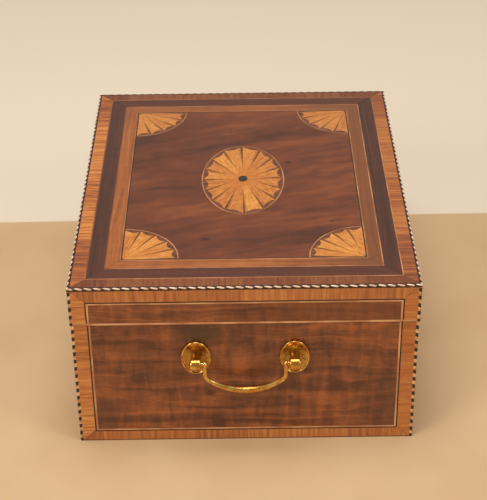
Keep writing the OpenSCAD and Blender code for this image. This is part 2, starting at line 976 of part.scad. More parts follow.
// The chamber of the bolt and the well that the key turns in
module lock_chamber() {
    reach = link_x + link_l / 2 + nose_tip_gap + nose_reach + upright_w + bolt_clear;
    translate([-reach, lock_y - cap_t - chamber_d, body_h - bolt_floor])
        cube([2 * reach, chamber_d, bolt_floor - lock_plate_t]);
    translate([-keywell_w / 2, lock_y - cap_t - chamber_d, body_h - keywell_h])
        cube([keywell_w, chamber_d, keywell_h - bolt_floor + over]);
}

// The slots in the top plate that the links drop through
module link_slots() {
    for (side = [-1, 1])
        translate([side * link_x - link_l / 2 - link_clear, chamber_y - link_t / 2 - link_clear,
            body_h - lock_plate_t - over])
            cube([link_l + 2 * link_clear, link_t + 2 * link_clear, lock_plate_t + 2 * over]);
}

module at_lock_screws() {
    for (side = [-1, 1]) translate([side * lock_screw_x, lock_y - lock_plate_w / 2, body_h])
        children();
}

module lock_screw_holes() {
    at_lock_screws() screw(screw_clear);
}

module lock_case() {
    color("gold") difference() {
        union() {
            translate([-lock_l / 2, lock_y - lock_plate_w, body_h - lock_plate_t])
                cube([lock_l, lock_plate_w, lock_plate_t]);
            translate([-case_l / 2, lock_y - case_d, body_h - case_h])
                cube([case_l, case_d, case_h - lock_plate_t]);
        }
        lock_chamber();
        link_slots();
        lock_screw_holes();
        key_hole();
        cap_shape();
    }
}

// The plate that closes the lock on the inside of the box
module cap_shape() {
    translate([-case_l / 2, lock_y - cap_t, body_h - case_h])
        cube([case_l, cap_t, case_h - lock_plate_t]);
}

module lock_cap() {
    color("darkgoldenrod") cap_shape();
}

// The bolt at rest, drawn back: a bar with two uprights, each with a nose towards +X
module bolt_outline() {
    root = -bolt_floor + bolt_clear;
    nose_z = -link_drop + link_foot_h + link_clear;
    left = -link_x - link_l / 2 - nose_tip_gap - nose_reach - upright_w;
    right = link_x - link_l / 2 - nose_tip_gap - nose_reach;
    difference() {
        translate([left, root]) square([right - left, bolt_bar_h - bolt_clear]);
        translate([-keyslot_w, root - over]) square([2 * keyslot_w, over + bolt_bar_h / 2]);
    }
    for (x = [left, right - upright_w]) {
        translate([x, root]) square([upright_w, nose_z + nose_h - root]);
        translate([x, nose_z]) square([upright_w + nose_reach, nose_h]);
    }
}

module lock_bolt() {
    color("khaki") translate([0, chamber_y + bolt_t / 2, body_h]) rotate([90, 0, 0])
        linear_extrude(bolt_t) bolt_outline();
}

// A link, drawn with its top at the origin: a notch on its -X side takes the nose of the bolt
module link_outline() {
    difference() {
        translate([-link_l / 2, -link_drop]) square([link_l, link_drop + lid_gap + lock_plate_t / 2]);
        translate([-link_l / 2 - over, -link_drop + link_foot_h])
            square([notch_d + over, notch_h]);
    }
}

module link_plate_shape() {
    translate([-lock_l / 2, lock_y - lock_plate_w, lid_z]) cube([lock_l, lock_plate_w, lock_plate_t]);
}

module link_plate_room() {
    translate([-lock_l / 2, lock_y - lock_plate_w, lid_z - over])
        cube([lock_l, lock_plate_w + over, lock_plate_t + over]);
}

module at_link_screws() {
    for (side = [-1, 1]) translate([side * lock_screw_x, lock_y - lock_plate_w / 2, lid_z])
        mirror([0, 0, 1]) children();
}

module link_screw_holes() {
    at_link_screws() screw(screw_clear);
}

module lock_link_plate() {
    color("gold") difference() {
        union() {
            link_plate_shape();
            for (side = [-1, 1])
                translate([side * link_x, chamber_y + link_t / 2, body_h]) rotate([90, 0, 0])
                    linear_extrude(link_t) link_outline();
        }
        link_screw_holes();
    }
}

module lock_screws() {
    color("khaki") at_lock_screws() screw();
}

module link_plate_screws() {
    color("khaki") at_link_screws() screw();
}

// The handles

module at_posts() {
    for (side = [-1, 1]) translate([0, side * post_span / 2, handle_z]) children();
}

// The bore of a shank and the pocket of its nut, cut through the near end wall
module handle_holes() {
    wall_in = carcass_l / 2 - wall_t;
    at_posts() {
        translate([wall_in - over, 0, 0]) rotate([0, 90, 0])
            cylinder(d = shank_d + 2 * nut_clear, h = wall_t + veneer_t + 2 * over);
        translate([wall_in - over, -nut_w / 2 - nut_clear, -nut_w / 2 - nut_clear])
            cube([nut_t + over, nut_w + 2 * nut_clear, nut_w + 2 * nut_clear]);
    }
}

// The plates are ovals drawn from four centres, which lie on triangles with sides of 3, 4 and 5 parts
oval_part = (plate_h - plate_w) / 4;
oval_end_r = plate_w / 2 - oval_part;
oval_end_c = 3 * oval_part;
oval_side_r = oval_end_r + 5 * oval_part;
oval_side_c = 4 * oval_part;

// The oval as an area, drawn in by some distance, with its length along X
module plate_outline(inset) {
    half = oval_end_c + 3 / 5 * (oval_end_r - inset);
    intersection() {
        square([2 * half, plate_w], center = true);
        translate([0, oval_side_c]) circle(oval_side_r - inset);
        translate([0, -oval_side_c]) circle(oval_side_r - inset);
    }
    for (side = [-1, 1]) translate([side * oval_end_c, 0]) circle(oval_end_r - inset);
}

// Section of the rim on a curve of radius r: a hollow that rises from the floor to a rolled edge
module rim_outline(r) {
    rise = plate_rim_t - rim_bead_r - plate_floor_t;
    reach = rim_slope_w - rim_bead_r;
    hollow_r = (pow(reach, 2) + pow(rise, 2)) / (2 * rise);
    translate([r - rim_slope_w, 0]) {
        difference() {
            square([rim_slope_w, plate_rim_t - rim_bead_r]);
            translate([0, plate_floor_t + hollow_r]) circle(hollow_r);
        }
        translate([reach, plate_rim_t - rim_bead_r]) circle(rim_bead_r);
    }
}

// The sector of the rim on radius r, turned about its own centre, with its middle along a
module rim_sector(r, a) {
    intersection() {
        rotate_extrude() rim_outline(r);
        linear_extrude(plate_rim_t) polygon([[0, 0], r * a, r * [a[0], -a[1]]]);
    }
}

// An oval dished plate with a rolled rim, on the YZ plane and facing +X
module handle_plate() {
    rotate([90, 0, 90]) rotate([0, 0, 90]) difference() {
        union() {
            linear_extrude(plate_floor_t) plate_outline(rim_bead_r);
            for (m = [0, 1]) {
                mirror([m, 0, 0]) translate([oval_end_c, 0, 0]) rim_sector(oval_end_r, [3, 4]);
                mirror([0, m, 0]) translate([0, -oval_side_c, 0])
                    rotate([0, 0, 90]) rim_sector(oval_side_r, [4, 3]);
            }
        }
        translate([0, 0, -over]) cylinder(d = shank_d + 2 * nut_clear, h = plate_rim_t + 2 * over);
    }
}

module near_plates() {
    translate([end_face, 0, 0]) at_posts() handle_plate();
}

// The barrel head of a post, with its axis along Y and its middle at the origin
module barrel_head() {
    flat = barrel_l / 2 - barrel_r;
    rotate([90, 0, 0]) rotate_extrude() {
        translate([0, -flat]) square([barrel_d / 2, 2 * flat]);
        translate([0, -barrel_l / 2]) square([barrel_d / 2 - barrel_r, barrel_l]);
        for (side = [-1, 1]) translate([barrel_d / 2 - barrel_r, side * flat]) circle(barrel_r);
    }
}

// A post: barrel head, neck, shank through the wall, and the bore of the bail pin
module handle_post(side) {
    shank_end = pivot_out + veneer_t + wall_t - shank_short;
    difference() {
        union() {
            barrel_head();
            translate([-pivot_out + plate_floor_t, 0, 0]) rotate([0, 90, 0])
                cylinder(d1 = neck_root_d, d2 = neck_d, h = pivot_out - plate_floor_t);
            translate([-shank_end, 0, 0]) rotate([0, 90, 0]) cylinder(d = shank_d, h = shank_end);
        }
        translate([0, -side * (barrel_l / 2 + over), 0]) rotate([-90 * side, 0, 0])
            cylinder(d = bail_pin_d + 2 * bail_pin_clear, h = bail_pin_l + bail_gap + over);
    }
}

module near_posts() {
    for (side = [-1, 1]) translate([pivot_x, side * post_span / 2, handle_z]) handle_post(side);
}

// The middle line of the bail, from the grip's lowest point up to the end of a leg
grip_centre_z = grip_r - bail_drop;
bend_centre_z = grip_centre_z - sqrt(pow(grip_r - bend_r, 2) - pow(leg_y - bend_r, 2));
grip_angle = asin((leg_y - bend_r) / (grip_r - bend_r));
grip_length = grip_r * grip_angle * PI / 180;
bend_length = bend_r * (90 - grip_angle) * PI / 180;
leg_length = -bend_centre_z;
half_length = grip_length + bend_length + leg_length;

function bail_point(s) =
    s < grip_length
        ? let (a = s / grip_r * 180 / PI) [grip_r * sin(a), grip_centre_z - grip_r * cos(a)]
    : s < grip_length + bend_length
        ? let (a = grip_angle + (s - grip_length) / bend_r * 180 / PI)
            [leg_y - bend_r + bend_r * sin(a), bend_centre_z - bend_r * cos(a)]
    : [leg_y, bend_centre_z + s - grip_length - bend_length];

function bail_turn(s) =
    s < grip_length ? s / grip_r * 180 / PI
    : s < grip_length + bend_length ? grip_angle + (s - grip_length) / bend_r * 180 / PI
    : 90;

// The bar swells from the legs to the middle of the grip
function bail_radius(s) = leg_d / 2
    + (grip_d - leg_d) / 2 * (s < grip_length ? pow(cos(90 * s / grip_length), swell_power) : 0);

bail_rings = 22;
bail_sides = 16;

// The bail as a tube of rings, with X out from the box, Y across and Z up from the pivot line
module bail_bar() {
    steps = [for (i = [-bail_rings:bail_rings]) i * half_length / bail_rings];
    points = [
        for (s = steps) let (side = s < 0 ? -1 : 1, d = abs(s), p = bail_point(d),
            turn = bail_turn(d), r = bail_radius(d))
            for (k = [0:bail_sides - 1]) let (a = 360 * k / bail_sides)
                [r * cos(a), side * p[0] - r * sin(a) * sin(turn) * side,
                    p[1] + r * sin(a) * cos(turn)]
    ];
    last = len(steps) - 1;
    polyhedron(points, concat(
        [[for (k = [bail_sides - 1:-1:0]) k]],
        [for (i = [0:last - 1], k = [0:bail_sides - 1]) let (next = (k + 1) % bail_sides)
            [i * bail_sides + k, i * bail_sides + next, (i + 1) * bail_sides + next,
                (i + 1) * bail_sides + k]],
        [[for (k = [0:bail_sides - 1]) last * bail_sides + k]]
    ));
}

module handle_bail() {
    bail_bar();
    for (side = [-1, 1]) translate([0, side * leg_y, 0]) {
        sphere(d = ball_d);
        rotate([-90 * side, 0, 0])
            cylinder(d = bail_pin_d, h = ball_d / 2 + bail_gap + bail_pin_l);
    }
}

module near_handle_bail() {
    color("gold") translate([pivot_x, 0, handle_z]) handle_bail();
}

module near_handle_plates() {
    color("gold") near_plates();
}

module near_handle_posts() {
    color("gold") near_posts();
}

module far_handle_bail() {
    color("gold") mirror([1, 0, 0]) translate([pivot_x, 0, handle_z]) handle_bail();
}

module far_handle_plates() {
    color("gold") mirror([1, 0, 0]) near_plates();
}

module far_handle_posts() {
    color("gold") mirror([1, 0, 0]) near_posts();
}

// The square nuts, sunk in the walls behind the lining
module handle_nuts() {
    color("darkkhaki") for (m = [0, 1]) mirror([m, 0, 0]) translate([carcass_l / 2 - wall_t, 0, 0])
        at_posts() difference() {
            translate([0, -nut_w / 2, -nut_w / 2]) cube([nut_t, nut_w, nut_w]);
            translate([-over, 0, 0]) rotate([0, 90, 0])
                cylinder(d = shank_d + 2 * nut_clear, h = nut_t + 2 * over);
        }
}

carcass_front();
carcass_back();
carcass_near_end();
carcass_far_end();
base_board();
body_rim_facings();
body_lining();
panel_front();
panel_back();
panel_near_end();
panel_far_end();
body_crossbands();
body_dark_lines();
body_light_lines();
body_corner_stringing();
lid_wall_front();
lid_wall_back();
lid_wall_near_end();
lid_wall_far_end();
lid_board();
lid_rim_facings();
lid_lining();
lid_side_panels();
lid_side_crossbands();
lid_side_dark_lines();
lid_side_light_lines();
lid_rim_line();
lid_corner_stringing();
rope_stringing();
top_crossband();
top_dark_band();
top_satin_band();
top_light_lines();
top_dark_line();
top_field();
fan_ground();
fan_lines();
patera_petals();
patera_boss();
corner_fan_petals();
hinge_body_leaves();
hinge_lid_leaves();
hinge_pins();
hinge_body_screws();
hinge_lid_screws();
lock_case();
lock_cap();
lock_bolt();
lock_link_plate();
lock_screws();
link_plate_screws();
keyhole_escutcheon();
near_handle_bail();
near_handle_plates();
near_handle_posts();
far_handle_bail();
far_handle_plates();
far_handle_posts();
handle_nuts();
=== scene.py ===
# %% [markdown]
# # An inlaid table box
# The box comes from the shop drawing already cut and joined: walls, veneers, lines, fans, hinges, lock
# and handles. What is left is what a polisher and a photographer would do. Each wood gets its colour,
# grain and polish, the brass gets its patina, and the box is set on a pale floor in soft light.

# %% Load the finished construction
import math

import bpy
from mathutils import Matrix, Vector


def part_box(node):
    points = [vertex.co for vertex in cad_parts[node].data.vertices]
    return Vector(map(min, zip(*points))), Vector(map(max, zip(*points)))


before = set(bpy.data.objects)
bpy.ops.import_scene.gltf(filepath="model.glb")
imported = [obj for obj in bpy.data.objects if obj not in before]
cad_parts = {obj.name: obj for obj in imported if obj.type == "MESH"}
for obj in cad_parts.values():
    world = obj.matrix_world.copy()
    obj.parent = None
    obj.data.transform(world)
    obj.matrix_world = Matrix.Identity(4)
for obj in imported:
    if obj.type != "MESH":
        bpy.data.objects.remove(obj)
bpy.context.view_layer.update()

# %% [markdown]
# The patterns are written in millimetres, the unit a cabinet maker would use, while Blender works in
# metres. The sizes that a pattern needs, such as how far the crossbanding reaches, are read from the
# pieces themselves, so that a band's grain always turns exactly at its mitre.

MM = 0.001


def span(node):
    """The lowest and the highest corner of a piece, in millimetres."""
    low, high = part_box(node)
    return low / MM, high / MM


LID = span("rope_stringing")[1]
LID_FOOT = span("lid_rim_line")[0].z
BODY = span("body_corner_stringing")[1]
STRING_W = LID.z - span("rope_stringing")[0].z
FIELD = span("top_field")[1]
PATERA = span("patera_petals")[1]
CROSSBAND_W = span("top_crossband")[1].x - span("top_dark_band")[1].x
FOOT_BAND_H = span("panel_near_end")[0].z
PLATE = span("near_handle_plates")
print("lid", tuple(round(v, 2) for v in LID), "field", tuple(round(v, 2) for v in FIELD))

# %% [markdown]
# Blender builds a material from nodes. A long formula is hard to read as a list of nodes, so `Value`
# stands for a number that the shader works out at each point, and ordinary signs such as + and * add
# the node that does the sum. `Finish` holds one material and the few kinds of node that are used here.

# %% Numbers inside a shader
def tint(red, green, blue):
    """A colour as a screen shows it, 0 to 255, turned into the linear colour that a shader needs."""
    def linear(v):
        v = v / 255
        return v / 12.92 if v <= 0.04045 else ((v + 0.055) / 1.055) ** 2.4
    return (linear(red), linear(green), linear(blue), 1.0)


def link(tree, socket, value):
    """Feeds a socket with a constant, or with what comes out of another node."""
    if isinstance(value, Value):
        value = value.socket
    if isinstance(value, bpy.types.NodeSocket):
        tree.links.new(value, socket)
    else:
        socket.default_value = value


class Value:
    """A number at each point of a surface."""

    def __init__(self, tree, socket):
        self.tree = tree
        self.socket = socket

    def math(self, operation, *others):
        node = self.tree.nodes.new("ShaderNodeMath")
        node.operation = operation
        for socket, value in zip(node.inputs, (self, *others)):
            link(self.tree, socket, value)
        return Value(self.tree, node.outputs[0])

    def __add__(self, other):
        return self.math("ADD", other)

    def __sub__(self, other):
        return self.math("SUBTRACT", other)

    def __mul__(self, other):
        return self.math("MULTIPLY", other)

    def __rsub__(self, other):
        return self * -1.0 + other

    __radd__ = __add__
    __rmul__ = __mul__

    def __truediv__(self, other):
        return self.math("DIVIDE", other)

    def less(self, other):
        return self.math("LESS_THAN", other)

    def abs(self):
        return self.math("ABSOLUTE")

    def fract(self):
        return self.math("FRACT")

    def floor(self):
        return self.math("FLOOR")

    def power(self, exponent):
        return self.math("POWER", exponent)

    def most(self, other):
        return self.math("MAXIMUM", other)

    def ramp(self, start, end, low=0.0, high=1.0):
        """Goes smoothly from low to high while the number goes from start to end."""
        node = self.tree.nodes.new("ShaderNodeMapRange")
        node.interpolation_type = "SMOOTHSTEP"
        for socket, value in zip(node.inputs, (self, start, end, low, high)):
            link(self.tree, socket, value)
        return Value(self.tree, node.outputs[0])


# %% One material
class Finish:
    """A material, with the place of each point in millimetres and the kinds of node that are used."""

    def __init__(self, name):
        self.material = bpy.data.materials.new(name)
        self.material.use_nodes = True
        self.tree = self.material.node_tree
        self.shader = self.tree.nodes["Principled BSDF"]
        place = self.tree.nodes.new("ShaderNodeTexCoord")
        self.x, self.y, self.z = (v / MM for v in self.split(place.outputs["Object"]))
        towards_end = self.split(place.outputs["Normal"])[0].abs()
        self.faces_end = towards_end.math("GREATER_THAN", 0.7)

    def split(self, vector):
        node = self.tree.nodes.new("ShaderNodeSeparateXYZ")
        link(self.tree, node.inputs[0], vector)
        return [Value(self.tree, socket) for socket in node.outputs]

    def join(self, x, y, z=0.0):
        node = self.tree.nodes.new("ShaderNodeCombineXYZ")
        for socket, value in zip(node.inputs, (x, y, z)):
            link(self.tree, socket, value)
        return node.outputs[0]

    def noise(self, vector, detail=2.0, roughness=0.5, distortion=0.0):
        """Smooth noise from about 0.3 to 0.7, one bump to each unit of the vector."""
        node = self.tree.nodes.new("ShaderNodeTexNoise")
        link(self.tree, node.inputs["Vector"], vector)
        node.inputs["Scale"].default_value = 1.0
        node.inputs["Detail"].default_value = detail
        node.inputs["Roughness"].default_value = roughness
        node.inputs["Distortion"].default_value = distortion
        return Value(self.tree, node.outputs["Fac"])

    def chance(self, vector):
        """One random number from 0 to 1 for each value of the vector."""
        node = self.tree.nodes.new("ShaderNodeTexWhiteNoise")
        link(self.tree, node.inputs["Vector"], vector)
        return Value(self.tree, node.outputs["Value"])

    def mix(self, factor, first, second):
        """The first colour where the factor is 0, and the second where it is 1."""
        node = self.tree.nodes.new("ShaderNodeMix")
        node.data_type = "RGBA"
        link(self.tree, node.inputs[0], factor)
        link(self.tree, node.inputs[6], first)
        link(self.tree, node.inputs[7], second)
        return node.outputs[2]

    def choose(self, factor, first, second):
        """The first number where the factor is 0, and the second where it is 1."""
        return first + (second - first) * factor

    def polish(self, colour, roughness, relief=None, depth=0.05, **constants):
        """Joins the colour, the roughness and the relief to the shader and sets its constants."""
        link(self.tree, self.shader.inputs["Base Color"], colour)
        link(self.tree, self.shader.inputs["Roughness"], roughness)
        if relief is not None:
            bump = self.tree.nodes.new("ShaderNodeBump")
            bump.inputs["Strength"].default_value = 1.0
            bump.inputs["Distance"].default_value = depth * MM
            link(self.tree, bump.inputs["Height"], relief)
            link(self.tree, self.shader.inputs["Normal"], bump.outputs[0])
        for name, value in constants.items():
            self.shader.inputs[name].default_value = value
        print(self.material.name, "has", len(self.tree.nodes), "nodes")
        return self.material


# %% [markdown]
# All the woods share one recipe, as all wood does. Fibres run along the grain, growth lines wander
# beside them, pores open as short dark dashes, and a cross ripple gives the figure that mahogany and
# satinwood are sawn for. The same noise is stretched in different ways to draw each of them.

# %% The shared recipe for wood
POLISH = {"Specular IOR Level": 0.5, "Coat Weight": 0.25, "Coat Roughness": 0.22, "Coat IOR": 1.5}


def grain(f, along, across, ripple=0.3, growth=0.22, seed=0.0):
    """The tone of the wood from about 0 to 1, its pores from 0 to 1, and its relief."""
    wander = f.noise(f.join(along * 0.012, across * 0.05, seed), detail=2) - 0.5
    lines = f.noise(f.join(along * 0.008, across * growth + wander * 5.0, seed + 3.1), detail=4,
                    roughness=0.6)
    fibre = f.noise(f.join(along * 0.12, across * 4.5, seed + 7.7), detail=2)
    figure = f.noise(f.join(along * 0.16, across * 0.035, seed + 11.3), detail=2, distortion=0.6)
    pore = f.noise(f.join(along * 0.38, across * 5.5, seed + 17.9), detail=1)
    tone = (lines - 0.5) * 1.9 + (fibre - 0.5) * 0.55 + (figure - 0.5) * ripple * 3.0 + 0.5
    holes = pore.ramp(0.60, 0.72)
    relief = fibre * 0.5 - holes * 0.8
    return tone, holes, relief


def wood(f, tone, holes, relief, light, middle, dark, pore_tint, gloss):
    """Turns a tone into colour: dark below, light above, with the pores filled by old polish."""
    colour = f.mix(tone.ramp(0.12, 0.58), dark, middle)
    colour = f.mix(tone.ramp(0.5, 0.95), colour, light)
    colour = f.mix(holes * 0.55, colour, pore_tint)
    rubbed = f.noise(f.join(f.x * 0.02, f.y * 0.02, f.z * 0.02), detail=3)
    roughness = (rubbed - 0.5) * 0.22 + gloss + holes * 0.12
    return f.polish(colour, roughness, relief, depth=0.03, **POLISH)


# %% [markdown]
# A side veneer lies on one of four upright faces. On the two ends it is measured across the box along
# Y, and on the two long sides along X, so the direction that the face looks in picks the one to use.
# `edge` is the distance in from the corner stringing, which tells an upright strip from a level one.

# %% Places on the sides and on the top
def on_side(f, half):
    """How far along its face a point is, and how far in from the stringing at the nearest corner."""
    along = f.choose(f.faces_end, f.x, f.y)
    reach = f.choose(f.faces_end, half.x - STRING_W, half.y - STRING_W)
    return along, reach - along.abs()


def on_top(f, half):
    """Distances in from the ends and from the long sides, and 1 on the strips along the ends."""
    from_end = half.x - f.x.abs()
    from_side = half.y - f.y.abs()
    return from_end, from_side, from_end.less(from_side)


# %% [markdown]
# ## Mahogany
# The panels are of mottled mahogany with the grain lying level. The panel at the near end is a warm
# brown in the middle and duller towards its lower corners, with a few ink spots and a stain above the
# left plate.

# %% The side panels
def blot(f, across, up, centre, size):
    """1 inside a rough round stain, 0 outside, on a face with two measures."""
    ragged = (f.noise(f.join(across * 0.45, up * 0.45, 2.0), detail=2) - 0.5) * 1.1
    far = ((across - centre[0]) / size[0]).power(2.0) + ((up - centre[1]) / size[1]).power(2.0)
    return (far.power(0.5) + ragged).ramp(1.8, 0.36)


def side_mahogany(name, half, seed):
    f = Finish(name)
    along, edge = on_side(f, half)
    tone, holes, relief = grain(f, along, f.z, ripple=0.36, growth=0.16, seed=seed)
    cloud = f.noise(f.join(along * 0.016, f.z * 0.024, seed + 2.0), detail=3) - 0.5
    dapple = f.noise(f.join(along * 0.18, f.z * 0.34, seed + 5.0), detail=3, roughness=0.65) - 0.5
    tone = tone + cloud * 1.4 + dapple * 0.55
    return f, along, edge, tone, holes, relief


f, along, edge, tone, holes, relief = side_mahogany("mahogany side", BODY, seed=1.0)
near = f.x.math("GREATER_THAN", 0.0) * f.faces_end
corner = edge.ramp(46.0, 4.0) * f.z.ramp(78.0, 12.0)
stain = blot(f, along, f.z, (-30.0, 93.0), (15.0, 7.5)) * 0.75
spots = blot(f, along, f.z, (-24.5, 42.0), (3.2, 2.6)) * 0.8
spots = spots.most(blot(f, along, f.z, (2.5, 89.0), (4.6, 2.4)) * 0.6)
spots = spots.most(blot(f, along, f.z, (31.5, 38.0), (2.0, 1.6)) * 0.6)
spots = spots.most(blot(f, along, f.z, (-52.0, 76.0), (6.0, 1.6)) * 0.35)
panel = f.mix(tone.ramp(0.1, 0.6), tint(84, 42, 24), tint(122, 66, 36))
panel = f.mix(tone.ramp(0.52, 1.0), panel, tint(158, 86, 42))
# duller and more purple towards the lower corners of the panels
panel = f.mix(corner * 0.5, panel, tint(98, 58, 44))
panel = f.mix(holes * 0.5, panel, tint(58, 26, 16))
panel = f.mix(stain * near, panel, tint(66, 44, 24))
panel = f.mix(spots * near, panel, tint(58, 28, 20))
rubbed = f.noise(f.join(f.x * 0.03, f.y * 0.03, f.z * 0.03), detail=3)
side_panel = f.polish(panel, (rubbed - 0.5) * 0.2 + 0.33 + holes * 0.1, relief, depth=0.03, **POLISH)

f, along, edge, tone, holes, relief = side_mahogany("mahogany lid side", LID, seed=4.0)
side = along.ramp(-90.0, 90.0)
lid_tint = f.mix(tone.ramp(0.1, 0.6), tint(86, 42, 20), tint(126, 68, 36))
lid_tint = f.mix(tone.ramp(0.52, 1.0), lid_tint, tint(156, 88, 46))
lid_tint = f.mix(side * 0.45 * f.faces_end, lid_tint, tint(92, 42, 20))
lid_tint = f.mix(holes * 0.5, lid_tint, tint(58, 26, 16))
rubbed = f.noise(f.join(f.x * 0.03, f.y * 0.03, f.z * 0.03), detail=3)
lid_side_panel = f.polish(lid_tint, (rubbed - 0.5) * 0.2 + 0.33, relief, depth=0.03, **POLISH)

# %% [markdown]
# The field of the top is one large veneer whose grain crosses the box, with slow dark clouds that run
# a little aslant. It carries the marks of its age: a few ink spots.

# %% The field of the top
f = Finish("mahogany field")
slant_along = f.y * 0.97 - f.x * 0.24
slant_across = f.x * 0.97 + f.y * 0.24
tone, holes, relief = grain(f, slant_along, slant_across, ripple=0.12, growth=0.10, seed=8.0)
cloud = f.noise(f.join(slant_along * 0.010, slant_across * 0.030, 3.0), detail=3, distortion=0.4) - 0.5
fine = f.noise(f.join(slant_along * 0.05, slant_across * 0.16, 5.0), detail=3) - 0.5
tone = (tone - 0.5) * 0.55 + 0.5 + cloud * 1.7 + fine * 0.7
right = f.y.ramp(-20.0, 80.0)
field = f.mix(tone.ramp(0.05, 0.62), tint(74, 32, 12), tint(104, 48, 20))
field = f.mix(tone.ramp(0.5, 1.05), field, tint(132, 68, 28))
field = f.mix(right * tone.ramp(0.3, 0.9) * 0.6, field, tint(130, 66, 26))
field = f.mix(holes * 0.35, field, tint(48, 18, 8))
marks = blot(f, f.x, f.y, (84.0, -27.0), (1.6, 2.6))
marks = marks.most(blot(f, f.x, f.y, (-24.5, 35.0), (1.8, 2.6)))
marks = marks.most(blot(f, f.x, f.y, (62.0, 64.0), (1.3, 1.6)) * 0.6)
field = f.mix(marks * 0.85, field, tint(44, 16, 10))
rubbed = f.noise(f.join(f.x * 0.02, f.y * 0.02, f.z * 0.02), detail=4)
field_mahogany = f.polish(field, (rubbed - 0.5) * 0.25 + 0.36 + holes * 0.1, relief, depth=0.025, **POLISH)

# %% [markdown]
# ## Crossbanding
# Crossbanding is cut across the grain and laid in short lengths, so its streaks run across the band
# and its tone changes from one length to the next. On the top, the strips along the ends get painted
# shade that makes them darker than those along the long sides, because their grain runs towards the eye.

# %% Crossbanding
def crossband(f, run, across, length, tones, seed):
    """Streaks across the band, in lengths that differ in tone."""
    wobble = (f.noise(f.join(run * 0.02, seed), detail=1) - 0.5) * 1.6
    piece = (run / length + wobble + seed).floor()
    own = f.chance(f.join(piece, seed, 1.0))
    tone, holes, relief = grain(f, across, run, ripple=0.05, growth=0.5, seed=seed)
    stripe = f.noise(f.join(across * 0.03, run * 0.42, seed + 1.0), detail=3, roughness=0.6,
                     distortion=0.25) - 0.5
    vein = f.noise(f.join(across * 0.05, run * 1.6, seed + 4.0), detail=2).ramp(0.60, 0.70)
    tone = (tone - 0.5) * 0.5 + 0.5 + stripe * 1.8 + (own - 0.5) * 0.45
    light, middle, dark, line = tones
    colour = f.mix(tone.ramp(0.1, 0.55), dark, middle)
    colour = f.mix(tone.ramp(0.5, 0.95), colour, light)
    colour = f.mix(vein * 0.5, colour, line)
    colour = f.mix(holes * 0.3, colour, line)
    return colour, relief


ORANGE = (tint(214, 146, 78), tint(190, 116, 58), tint(150, 84, 38), tint(112, 52, 24))

f = Finish("tulipwood sides")
along, edge = on_side(f, BODY)
lid = f.z.math("GREATER_THAN", LID_FOOT)
foot_edge = f.z * (CROSSBAND_W / FOOT_BAND_H)
top_edge = (LID.z - STRING_W) - f.z
level_edge = f.choose(lid, foot_edge, top_edge)
upright = edge.less(level_edge)
run = f.choose(upright, along, f.z)
across = f.choose(upright, f.z, along)
colour, relief = crossband(f, run, across, 34.0, ORANGE, seed=21.0)
level = 1.0 - upright
colour = f.mix(level * 0.30, colour, tint(160, 90, 48))
right = along.ramp(-40.0, 60.0) * upright
colour = f.mix(right * 0.42, colour, tint(168, 88, 34))
joint = (edge - level_edge).abs().ramp(0.5, 0.1)
colour = f.mix(joint * 0.6, colour, tint(96, 48, 24))
# darker along the bottom millimetre of the sides, where the box stands on the floor
bottom_edge_dark = f.z.ramp(1.3, 0.3) * 0.8
colour = f.mix(bottom_edge_dark, colour, tint(60, 26, 14))
side_tulipwood = f.polish(colour, 0.36, relief, depth=0.03, **POLISH)

f = Finish("tulipwood top")
from_end, from_side, along_end = on_top(f, LID)
run = f.choose(along_end, f.x, f.y)
across = f.choose(along_end, f.y, f.x)
tiger = (tint(206, 132, 62), tint(170, 92, 38), tint(112, 56, 22), tint(66, 28, 12))
colour, relief = crossband(f, run, across, 46.0, tiger, seed=33.0)
# painted shade: the strips along the ends are darkened for grain that runs towards the eye
end_strip_painted_shade = f.mix(0.72, colour, tint(88, 40, 20))
colour = f.mix(along_end, colour, end_strip_painted_shade)
colour = f.mix(f.y.ramp(40.0, 110.0) * 0.35, colour, tint(128, 66, 26))
joint = (from_end - from_side).abs().ramp(0.5, 0.1)
colour = f.mix(joint * 0.5, colour, tint(70, 34, 18))
top_tulipwood = f.polish(colour, 0.34, relief, depth=0.03, **POLISH)

# %% [markdown]
# ## The two bands of the top
# The dark band and the satinwood band run with their grain, so their streaks are long and fine. The
# satinwood is brightest on the long side at the left and browner at the right.

# %% Dark band and satinwood band
def long_grain(f, half, seed):
    from_end, from_side, along_end = on_top(f, half)
    along = f.choose(along_end, f.x, f.y)
    across = f.choose(along_end, f.y, f.x)
    tone, _, relief = grain(f, along, across, ripple=0.12, growth=0.55, seed=seed)
    return along_end, tone, relief, (from_end - from_side).abs().ramp(0.4, 0.1)


f = Finish("rosewood band")
along_end, tone, relief, joint = long_grain(f, LID, seed=41.0)
dark = f.mix(tone.ramp(0.1, 0.6), tint(52, 24, 14), tint(76, 36, 20))
dark = f.mix(tone.ramp(0.55, 1.0), dark, tint(104, 52, 28))
dark = f.mix(along_end * 0.45, dark, tint(92, 40, 18))
dark = f.mix(joint * 0.5, dark, tint(34, 14, 8))
rosewood = f.polish(dark, 0.34, relief, depth=0.03, **POLISH)

f = Finish("satinwood band")
along_end, tone, relief, joint = long_grain(f, LID, seed=47.0)
patch = f.noise(f.join(f.x * 0.022, f.y * 0.022, 4.0), detail=3) - 0.5
tone = tone + patch * 0.9
satin = f.mix(tone.ramp(0.1, 0.6), tint(122, 64, 24), tint(158, 88, 36))
satin = f.mix(tone.ramp(0.55, 1.0), satin, tint(188, 112, 50))
satin = f.mix(f.y.ramp(20.0, 90.0) * 0.72, satin, tint(104, 58, 28))
satin = f.mix(f.x.ramp(-40.0, -120.0) * 0.35, satin, tint(120, 70, 38))
satin = f.mix(joint * 0.4, satin, tint(80, 40, 20))
satinwood = f.polish(satin, 0.33, relief, depth=0.03, **POLISH)

# %% [markdown]
# ## Lines
# The thin lines are boxwood and dyed black wood. On the near side of each the boxwood catches the light
# and looks almost pink, and on the left of the top it is as brown as its neighbours.

# %% Boxwood and black lines
LINE_GLOSS = 0.34


